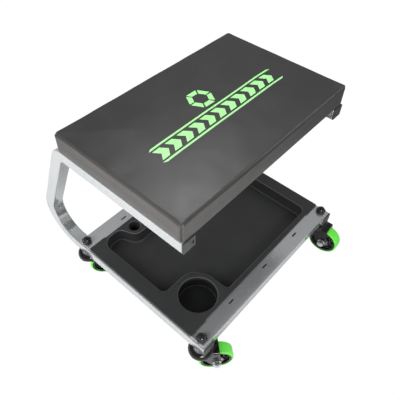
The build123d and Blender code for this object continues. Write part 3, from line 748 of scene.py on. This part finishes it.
def decal(name, polys, lift=0.00018):
    """Flat outlines dropped on to the seat top, finely divided so that they follow it."""
    bm = bmesh.new()
    for poly in polys:
        vs = [bm.verts.new((x, y, 0)) for x, y in poly]
        bm.faces.new(vs)
    # slice on a 5 mm grid so the outline bends with the pad
    xs = [v.co.x for v in bm.verts]
    ys = [v.co.y for v in bm.verts]
    for axis, vals in ((0, xs), (1, ys)):
        a, b = min(vals), max(vals)
        k = a + 0.005
        while k < b:
            geom = bm.verts[:] + bm.edges[:] + bm.faces[:]
            co = (k, 0, 0) if axis == 0 else (0, k, 0)
            no = (1, 0, 0) if axis == 0 else (0, 1, 0)
            bmesh.ops.bisect_plane(bm, geom=geom, plane_co=co, plane_no=no, dist=1e-6)
            k += 0.005
    bmesh.ops.triangulate(bm, faces=[f for f in bm.faces if len(f.verts) > 4])
    top = [f for f in bm.faces]
    ext = bmesh.ops.extrude_face_region(bm, geom=top)
    new = [g for g in ext["geom"] if isinstance(g, bmesh.types.BMVert)]
    newset = set(new)
    for v in bm.verts:
        z = on_top(v.co.x, v.co.y)
        v.co = Vector((CX + v.co.x, CY + v.co.y, z + (lift if v in newset else -0.0003)))
    bmesh.ops.recalc_face_normals(bm, faces=bm.faces[:])
    me = bpy.data.meshes.new(name)
    bm.to_mesh(me)
    bm.free()
    o = link(bpy.data.objects.new(name, me))
    o.data.materials.append(INK)
    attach(o, "base")
    return o


INK = print_ink()
mm = 0.001
polys = []
# a run of slanted chevrons between two tapering rules
y_mid = -21 * mm
pitch, wid, half = 24.5 * mm, 14 * mm, 10.5 * mm
for i in range(11):
    x = -135 * mm + i * pitch
    point = 8 * mm
    polys.append([(x, y_mid - half), (x + wid, y_mid - half), (x + wid + point, y_mid), (x + wid, y_mid + half), (x, y_mid + half), (x + point, y_mid)])
for sgn in (-1, 1):
    y = y_mid + sgn * 15.5 * mm
    polys.append([(-138 * mm, y - 1.6 * mm * sgn), (146 * mm, y - 1.6 * mm * sgn), (140 * mm, y + 1.6 * mm * sgn), (-132 * mm, y + 1.6 * mm * sgn)][::sgn])
decal("seat_print_band", polys)
# a plain hexagonal nut outline above the band, in six trapezoids
hexes = []
ro, ri, hc = 23 * mm, 13.5 * mm, (3 * mm, 22.5 * mm)
for i in range(6):
    a0, a1 = math.radians(60 * i + 4), math.radians(60 * (i + 1) - 4)
    hexes.append([(hc[0] + ro * math.cos(a0), hc[1] + ro * math.sin(a0)), (hc[0] + ro * math.cos(a1), hc[1] + ro * math.sin(a1)),
                  (hc[0] + ri * math.cos(a1), hc[1] + ri * math.sin(a1)), (hc[0] + ri * math.cos(a0), hc[1] + ri * math.sin(a0))])
decal("seat_print_nut", hexes)

# ------------------------------------------------------------------ stage
def floor():
    s = 6.0
    n = 24
    verts = [(-s + 2 * s * i / n, -s + 2 * s * j / n, 0.0) for i in range(n + 1) for j in range(n + 1)]
    faces = [(i * (n + 1) + j, (i + 1) * (n + 1) + j, (i + 1) * (n + 1) + j + 1, i * (n + 1) + j + 1) for i in range(n) for j in range(n)]
    o = mesh_object("floor", verts, faces)
    m = M("floor_white").set(Roughness=0.9, Specular_IOR_Level=0.0)
    sx = m.node("ShaderNodeSeparateXYZ")
    m.link(m.co, sx.inputs[0])
    # the floor colour darkens from x 0.16 m to 0.55 m: painted shade on that side of the floor, seen only in
    # reflections; camera rays see the white emission
    side = m.maprange(sx.outputs["X"], 0.16, 0.55, 1.0, 0.28)
    tone = m.ramp(m.noise(1.2, 2), [(0.3, (0.84, 0.84, 0.84)), (0.7, (0.88, 0.88, 0.88))])
    m.color(m.mix(side, (0.0, 0.0, 0.0), tone))
    em = m.node("ShaderNodeEmission")
    em.inputs["Color"].default_value = (1, 1, 1, 1)
    em.inputs["Strength"].default_value = 1.02
    lp = m.node("ShaderNodeLightPath")
    mx = m.node("ShaderNodeMixShader")
    m.link(lp.outputs["Is Camera Ray"], mx.inputs[0])
    m.link(m.b.outputs[0], mx.inputs[1])
    m.link(em.outputs[0], mx.inputs[2])
    m.link(mx.outputs[0], m.out.inputs["Surface"])
    o.data.materials.append(m.mat)
    return o


floor()
world = bpy.data.worlds.new("studio")
scene.world = world
world.use_nodes = True
wn = world.node_tree
bg = wn.nodes["Background"]
tc = wn.nodes.new("ShaderNodeTexCoord")
sp = wn.nodes.new("ShaderNodeSeparateXYZ")
rp = wn.nodes.new("ShaderNodeValToRGB")
wn.links.new(tc.outputs["Generated"], sp.inputs[0])
wn.links.new(sp.outputs["Z"], rp.inputs["Fac"])
els = rp.color_ramp.elements
els[0].position, els[0].color = 0.0, (0.95, 0.95, 0.95, 1)
els[1].position, els[1].color = 1.0, (0.40, 0.40, 0.41, 1)
for pos_, g_ in ((0.06, 0.72), (0.22, 0.30), (0.60, 0.30), (0.85, 0.36)):
    e = els.new(pos_)
    e.color = (g_, g_, g_ * 1.02, 1)
wn.links.new(rp.outputs["Color"], bg.inputs["Color"])
# the backdrop is plain white to the camera; the ramp above is what the object reflects
white = wn.nodes.new("ShaderNodeBackground")
white.inputs["Color"].default_value = (1, 1, 1, 1)
white.inputs["Strength"].default_value = 1.02
ray = wn.nodes.new("ShaderNodeLightPath")
pick = wn.nodes.new("ShaderNodeMixShader")
wn.links.new(ray.outputs["Is Camera Ray"], pick.inputs[0])
wn.links.new(bg.outputs[0], pick.inputs[1])
wn.links.new(white.outputs[0], pick.inputs[2])
wn.links.new(pick.outputs[0], wn.nodes["World Output"].inputs["Surface"])
bg.inputs["Strength"].default_value = 1.0


def area(name, loc, target, size, power, size_y=None, glossy=True, color=(1.0, 1.0, 1.0)):
    d = bpy.data.lights.new(name, "AREA")
    d.energy = power
    d.color = color
    d.size = size
    if size_y:
        d.shape = "RECTANGLE"
        d.size_y = size_y
    o = link(bpy.data.objects.new(name, d))
    o.visible_camera = False
    o.visible_glossy = glossy
    o.location = loc
    o.rotation_euler = (Vector(target) - Vector(loc)).to_track_quat("-Z", "Y").to_euler()
    return o


def receivers(name, objs):
    c = bpy.data.collections.new(name)
    for o in objs:
        c.objects.link(o)
    return c


SEAT = ("seat_cushion", "seat_print")
everything = [o for o in bpy.data.objects if o.type in ("MESH", "CURVE")]
seat_skin = receivers("lit_seat", [o for o in everything if o.name.startswith(SEAT)])
not_seat = receivers("lit_rest", [o for o in everything if not o.name.startswith(SEAT)])
assert len(seat_skin.objects) == 3, [o.name for o in seat_skin.objects]


def only(light, group):
    light.light_linking.receiver_collection = group


DARK = ("fork", "acorn_nuts", "wheel_hub")
dark = receivers("lit_dark", [o for o in everything if any(k in o.name for k in DARK)])
assert len(dark.objects) >= 9, len(dark.objects)

only(area("key_left", (-0.72, -0.34, 0.40), (-0.2, -0.13, 0.36), 0.32, 18.0, 0.26, glossy=False, color=(1.0, 0.955, 0.915)), seat_skin)
only(area("left_wash", (-1.6, 0.25, 1.25), (-0.35, 0, 0.0), 1.2, 34, 1.0, glossy=False), not_seat)
only(area("top_soft", (0.36, 0.32, 1.70), (-0.17, -0.12, 0.38), 0.55, 12, 0.55), seat_skin)
only(area("corner_soft", (-0.38, -0.38, 1.60), (-0.19, -0.14, 0.38), 0.35, 5.0, 0.35), seat_skin)
only(area("rim_front", (0.90, -0.72, 1.20), (0, -0.15, 0.38), 0.60, 3.5, 0.40), seat_skin)
only(area("rim_left", (-0.95, 0.95, 1.45), (-0.2, 0, 0.38), 0.50, 2.0, 0.50), seat_skin)
only(area("front_fill", (0.1, -1.5, 1.25), (0, -0.1, 0.10), 0.9, 14, 0.6, glossy=False), not_seat)
only(area("glint", (-0.95, -1.05, 0.75), (0, -0.1, 0.06), 0.45, 12.0, 0.22, color=(1.0, 0.93, 0.86)), dark)

# ------------------------------------------------------------------ camera
cam_data = bpy.data.cameras.new("camera")
cam = link(bpy.data.objects.new("camera", cam_data))
cam_data.sensor_width = 36.0
cam_data.sensor_fit = "HORIZONTAL"
cam_data.lens = 448.89 * 36.0 / 400.0
cam_data.clip_start = 0.05
az, el, roll = math.radians(-49.94), math.radians(48.7), math.radians(1.9)
back = Vector((math.sin(az) * math.cos(el), -math.cos(az) * math.cos(el), math.sin(el)))
fwd = -back
right = fwd.cross(Vector((0, 0, 1))).normalized()
up = right.cross(fwd)
cx_ = right * math.cos(roll) + up * math.sin(roll)
cy_ = -right * math.sin(roll) + up * math.cos(roll)
rot = Matrix((cx_, cy_, back)).transposed().to_4x4()
pos = Vector((CX - 0.43926, CY - 0.35525, Z1 + 0.42516))
cam.matrix_world = Matrix.Translation(pos) @ rot
scene.camera = cam
scene.view_settings.view_transform = "Standard"
scene.view_settings.look = "None"
scene.view_settings.exposure = 0.0

bpy.context.view_layer.update()
